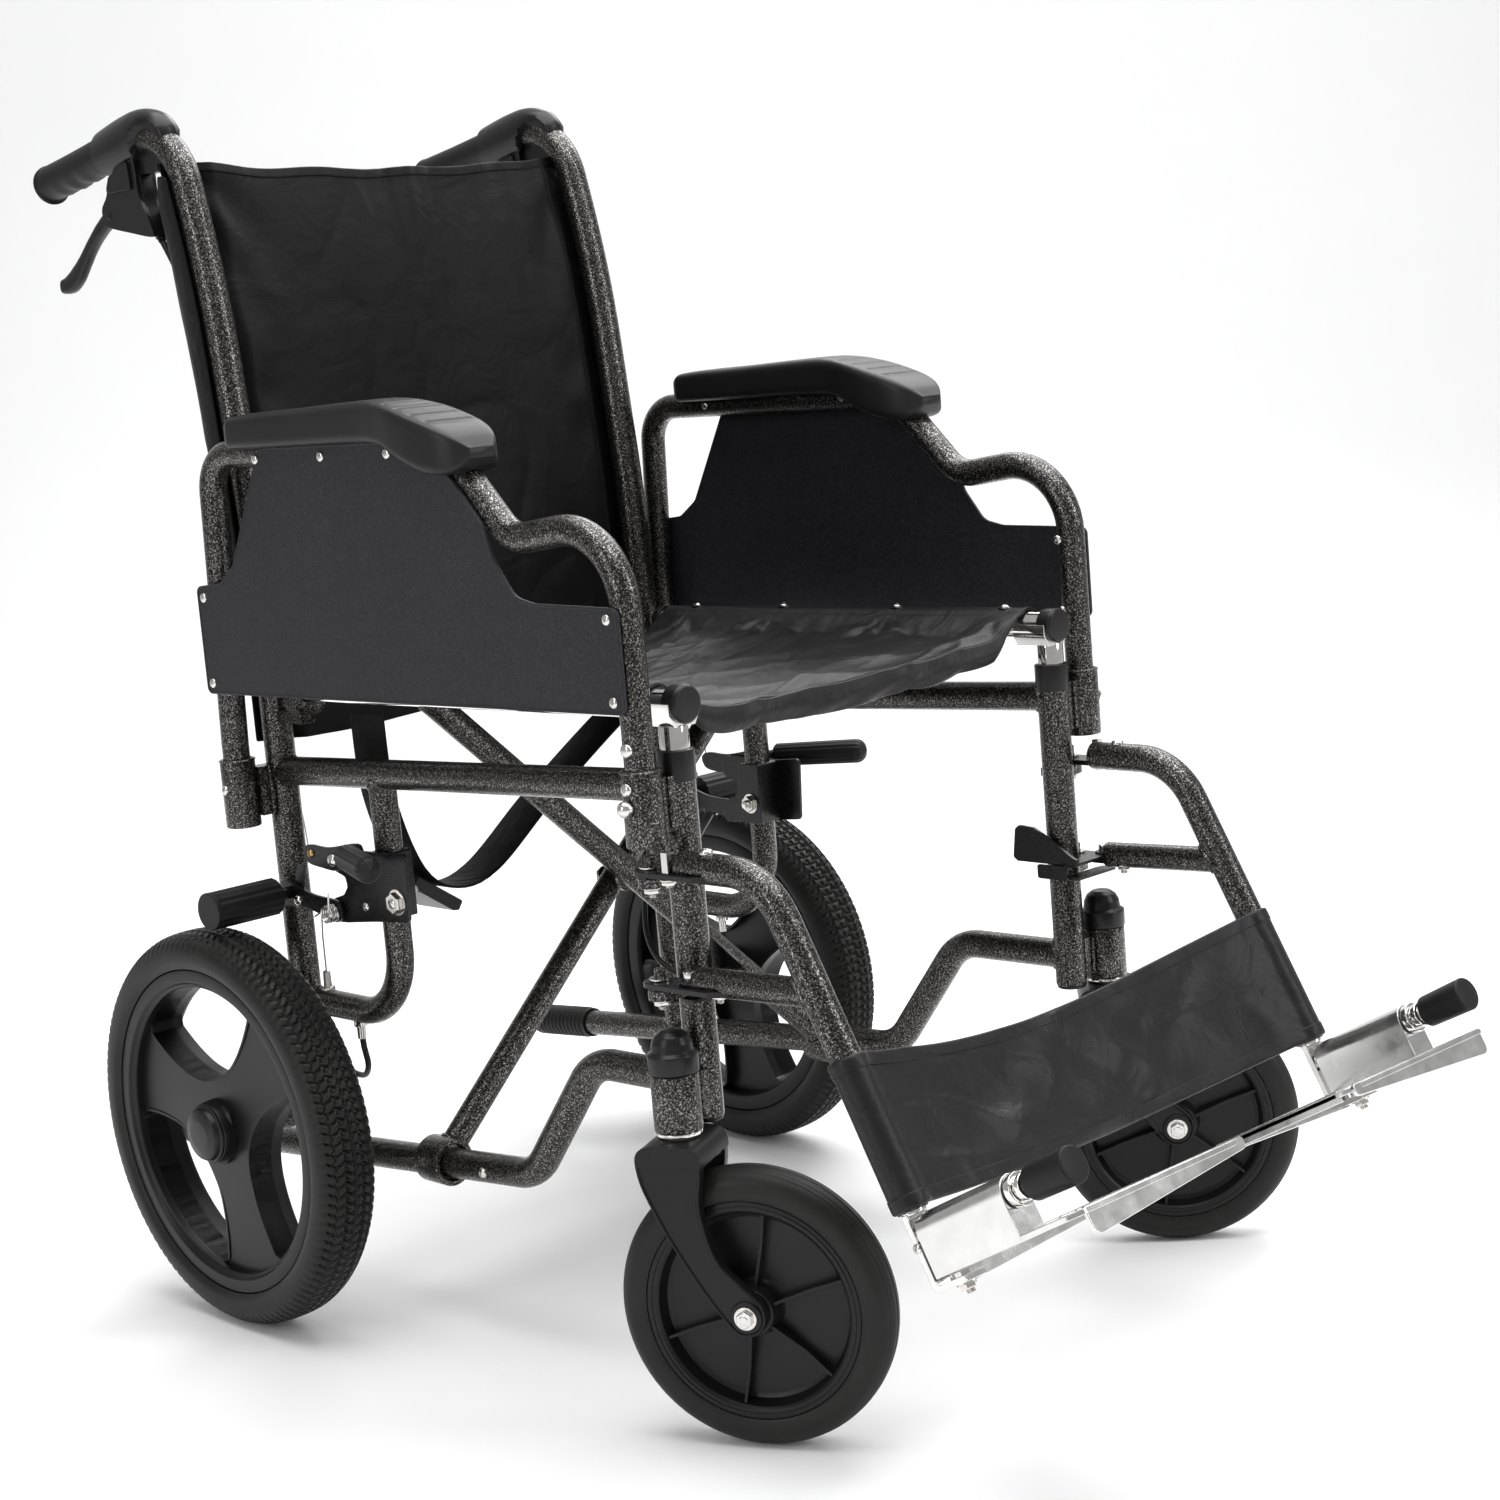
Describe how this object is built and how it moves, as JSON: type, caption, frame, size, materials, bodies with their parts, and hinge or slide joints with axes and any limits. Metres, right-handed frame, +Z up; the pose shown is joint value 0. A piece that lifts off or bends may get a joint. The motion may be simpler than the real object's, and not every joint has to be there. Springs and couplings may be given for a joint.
{
  "type": "folding attendant-propelled wheelchair",
  "caption": "Folding attendant-propelled wheelchair with cross-braced tube frame, sling seat and back, lift-out arms, swing-away legrests, castors and hand brakes.",
  "frame": {"origin": "centre of the footprint box on the floor, with the castors turned as at rest", "axes": "+Z up, the chair faces -Y, the occupant's right is -X"},
  "size_m": [0.664, 1.0972, 0.9775],
  "materials": {
    "slot_hammertone": "hammertone powder coat",
    "slot_chrome": "polished",
    "slot_aluminium": "satin",
    "slot_fabric": "woven nylon",
    "slot_pad": "skinned foam",
    "slot_plastic": "textured",
    "slot_rubber": "matt",
    "slot_tyre": "matt",
    "slot_black_steel": "gloss black",
    "slot_zinc": "zinc plated"
  },
  "bodies": {
    "frame_right": {"side_frame_right": "slot_hammertone", "push_grip_right": "slot_rubber", "tip_cap_right": "slot_rubber", "stem_cap_right": "slot_plastic", "rear_axle_right": "slot_zinc", "park_bracket_right": "slot_black_steel", "hand_brake_mount_right": "slot_plastic", "brake_cable_right": "slot_plastic", "back_sling": "slot_fabric", "lap_belt": "slot_fabric", "belt_buckle": "slot_plastic"},
    "frame_left": {"side_frame_left": "slot_hammertone", "push_grip_left": "slot_rubber", "tip_cap_left": "slot_rubber", "stem_cap_left": "slot_plastic", "rear_axle_left": "slot_zinc", "park_bracket_left": "slot_black_steel", "hand_brake_mount_left": "slot_plastic", "brake_cable_left": "slot_plastic"},
    "bar_a": {"cross_bar_a": "slot_hammertone", "cross_bolt": "slot_zinc", "seat_sling": "slot_fabric"},
    "bar_b": {"cross_bar_b": "slot_hammertone"},
    "arm_right": {"arm_frame_right": "slot_hammertone", "arm_pad_right": "slot_pad", "side_panel_right": "slot_plastic"},
    "arm_lock_right": {"arm_lock_right": "slot_zinc"},
    "rear_wheel_right": {"rear_tyre_right": "slot_tyre", "rear_wheel_right": "slot_plastic"},
    "castor_fork_right": {"castor_fork_right": "slot_plastic", "castor_axle_right": "slot_zinc"},
    "castor_wheel_right": {"castor_tyre_right": "slot_tyre", "castor_rim_right": "slot_plastic"},
    "hanger_right": {"legrest_hanger_right": "slot_hammertone", "calf_strap": "slot_fabric"},
    "latch_right": {"legrest_latch_right": "slot_black_steel"},
    "foot_bar_right": {"foot_bar_right": "slot_zinc"},
    "hinge_rod_right": {"hinge_rod_right": "slot_chrome"},
    "footplate_right": {"footplate_right": "slot_aluminium"},
    "park_lever_right": {"park_lever_right": "slot_black_steel"},
    "park_shoe_right": {"park_shoe_right": "slot_black_steel"},
    "hand_brake_right": {"hand_brake_lever_right": "slot_plastic"},
    "arm_left": {"arm_frame_left": "slot_hammertone", "arm_pad_left": "slot_pad", "side_panel_left": "slot_plastic"},
    "arm_lock_left": {"arm_lock_left": "slot_zinc"},
    "rear_wheel_left": {"rear_tyre_left": "slot_tyre", "rear_wheel_left": "slot_plastic"},
    "castor_fork_left": {"castor_fork_left": "slot_plastic", "castor_axle_left": "slot_zinc"},
    "castor_wheel_left": {"castor_tyre_left": "slot_tyre", "castor_rim_left": "slot_plastic"},
    "hanger_left": {"legrest_hanger_left": "slot_hammertone"},
    "latch_left": {"legrest_latch_left": "slot_black_steel"},
    "foot_bar_left": {"foot_bar_left": "slot_zinc"},
    "hinge_rod_left": {"hinge_rod_left": "slot_chrome"},
    "footplate_left": {"footplate_left": "slot_aluminium"},
    "park_lever_left": {"park_lever_left": "slot_black_steel"},
    "park_shoe_left": {"park_shoe_left": "slot_black_steel"},
    "hand_brake_left": {"hand_brake_lever_left": "slot_plastic"}
  },
  "joints": [
    {"name": "fold", "type": "hinge", "parent": "frame_right", "child": "bar_a", "pos_m": [-0.21385, 0.12866, 0.138], "axis": [0, -1, 0], "range_deg": [0, 32], "deforming": ["seat_sling", "back_sling", "calf_strap", "lap_belt", "belt_buckle"]},
    {"name": "fold_scissor", "type": "hinge", "parent": "bar_a", "child": "bar_b", "pos_m": [-0.00955, 0.11366, 0.32654], "axis": [0, -1, 0], "range_deg": [-65, 0]},
    {"name": "fold_left_foot", "type": "hinge", "parent": "bar_b", "child": "frame_left", "pos_m": [0.19475, 0.09866, 0.138], "axis": [0, -1, 0], "range_deg": [0, 33]},
    {"name": "arm_lift_right", "type": "slide", "parent": "frame_right", "child": "arm_right", "axis": [0, 0, 1], "range_m": [0, 0.1]},
    {"name": "arm_lock_push_right", "type": "slide", "parent": "frame_right", "child": "arm_lock_right", "axis": [-1, 0, 0], "range_m": [0, 0.005], "stiffness_N_per_m": 600},
    {"name": "rear_wheel_spin_right", "type": "hinge", "parent": "frame_right", "child": "rear_wheel_right", "pos_m": [-0.29655, 0.29366, 0.163], "axis": [1, 0, 0], "continuous": true},
    {"name": "castor_swivel_right", "type": "hinge", "parent": "frame_right", "child": "castor_fork_right", "pos_m": [-0.24835, -0.19334, 0.22], "axis": [0, 0, 1], "continuous": true},
    {"name": "castor_spin_right", "type": "hinge", "parent": "castor_fork_right", "child": "castor_wheel_right", "pos_m": [-0.22735, -0.23717, 0.1], "axis": [-0.9018, -0.4321, 0], "continuous": true},
    {"name": "hanger_swing_right", "type": "hinge", "parent": "frame_right", "child": "hanger_right", "pos_m": [-0.23905, -0.17734, 0.36], "axis": [0, 0, -1], "range_deg": [0, 90]},
    {"name": "latch_right", "type": "hinge", "parent": "hanger_right", "child": "latch_right", "pos_m": [-0.23855, -0.20734, 0.328], "axis": [0, 0, -1], "range_deg": [0, 20], "stiffness_Nm_per_rad": 0.3},
    {"name": "foot_bar_slide_right", "type": "slide", "parent": "hanger_right", "child": "foot_bar_right", "axis": [0, -0.4684, -0.8835], "range_m": [0, 0.05]},
    {"name": "rod_flip_right", "type": "hinge", "parent": "foot_bar_right", "child": "hinge_rod_right", "pos_m": [-0.23475, -0.4095, 0.18762], "axis": [0, -0.8835, 0.4684], "range_deg": [0, 90]},
    {"name": "footplate_flip_right", "type": "hinge", "parent": "hinge_rod_right", "child": "footplate_right", "pos_m": [-0.23475, -0.4095, 0.18762], "axis": [0, 0.8835, -0.4684], "range_deg": [-90, 0]},
    {"name": "park_lever_right", "type": "hinge", "parent": "frame_right", "child": "park_lever_right", "pos_m": [-0.23175, 0.20766, 0.378], "axis": [-1, 0, 0], "range_deg": [0, 40]},
    {"name": "park_shoe_right", "type": "hinge", "parent": "frame_right", "child": "park_shoe_right", "pos_m": [-0.23175, 0.21166, 0.335], "axis": [-1, 0, 0], "range_deg": [0, 3.5]},
    {"name": "hand_brake_right", "type": "hinge", "parent": "frame_right", "child": "hand_brake_right", "pos_m": [-0.21385, 0.44166, 0.902], "axis": [1, 0, 0], "range_deg": [0, 20], "stiffness_Nm_per_rad": 1.2},
    {"name": "arm_lift_left", "type": "slide", "parent": "frame_left", "child": "arm_left", "axis": [0, 0, 1], "range_m": [0, 0.1]},
    {"name": "arm_lock_push_left", "type": "slide", "parent": "frame_left", "child": "arm_lock_left", "axis": [1, 0, 0], "range_m": [0, 0.005], "stiffness_N_per_m": 600},
    {"name": "rear_wheel_spin_left", "type": "hinge", "parent": "frame_left", "child": "rear_wheel_left", "pos_m": [0.27745, 0.29366, 0.163], "axis": [1, 0, 0], "continuous": true},
    {"name": "castor_swivel_left", "type": "hinge", "parent": "frame_left", "child": "castor_fork_left", "pos_m": [0.22925, -0.19334, 0.22], "axis": [0, 0, 1], "continuous": true},
    {"name": "castor_spin_left", "type": "hinge", "parent": "castor_fork_left", "child": "castor_wheel_left", "pos_m": [0.26055, -0.23051, 0.1], "axis": [-0.7649, -0.6441, 0], "continuous": true},
    {"name": "hanger_swing_left", "type": "hinge", "parent": "frame_left", "child": "hanger_left", "pos_m": [0.21995, -0.17734, 0.36], "axis": [0, 0, 1], "range_deg": [0, 90]},
    {"name": "latch_left", "type": "hinge", "parent": "hanger_left", "child": "latch_left", "pos_m": [0.21945, -0.20734, 0.328], "axis": [0, 0, 1], "range_deg": [0, 20], "stiffness_Nm_per_rad": 0.3},
    {"name": "foot_bar_slide_left", "type": "slide", "parent": "hanger_left", "child": "foot_bar_left", "axis": [0, -0.4684, -0.8835], "range_m": [0, 0.05]},
    {"name": "rod_flip_left", "type": "hinge", "parent": "foot_bar_left", "child": "hinge_rod_left", "pos_m": [0.21565, -0.4095, 0.18762], "axis": [0, 0.8835, -0.4684], "range_deg": [0, 90]},
    {"name": "footplate_flip_left", "type": "hinge", "parent": "hinge_rod_left", "child": "footplate_left", "pos_m": [0.21565, -0.4095, 0.18762], "axis": [0, -0.8835, 0.4684], "range_deg": [-90, 0]},
    {"name": "park_lever_left", "type": "hinge", "parent": "frame_left", "child": "park_lever_left", "pos_m": [0.21265, 0.20766, 0.378], "axis": [-1, 0, 0], "range_deg": [0, 40]},
    {"name": "park_shoe_left", "type": "hinge", "parent": "frame_left", "child": "park_shoe_left", "pos_m": [0.21265, 0.21166, 0.335], "axis": [-1, 0, 0], "range_deg": [0, 3.5]},
    {"name": "hand_brake_left", "type": "hinge", "parent": "frame_left", "child": "hand_brake_left", "pos_m": [0.19475, 0.44166, 0.902], "axis": [1, 0, 0], "range_deg": [0, 20], "stiffness_Nm_per_rad": 1.2}
  ],
  "couplings": [
    {"joint": "fold_scissor", "follows": "fold", "ratio": -2},
    {"joint": "fold_left_foot", "follows": "fold", "ratio": 1},
    {"joint": "rod_flip_right", "follows": "fold", "ratio": 2.8},
    {"joint": "park_shoe_right", "follows": "park_lever_right", "ratio": 0.085},
    {"joint": "rod_flip_left", "follows": "fold", "ratio": 2.8},
    {"joint": "park_shoe_left", "follows": "park_lever_left", "ratio": 0.085}
  ]
}
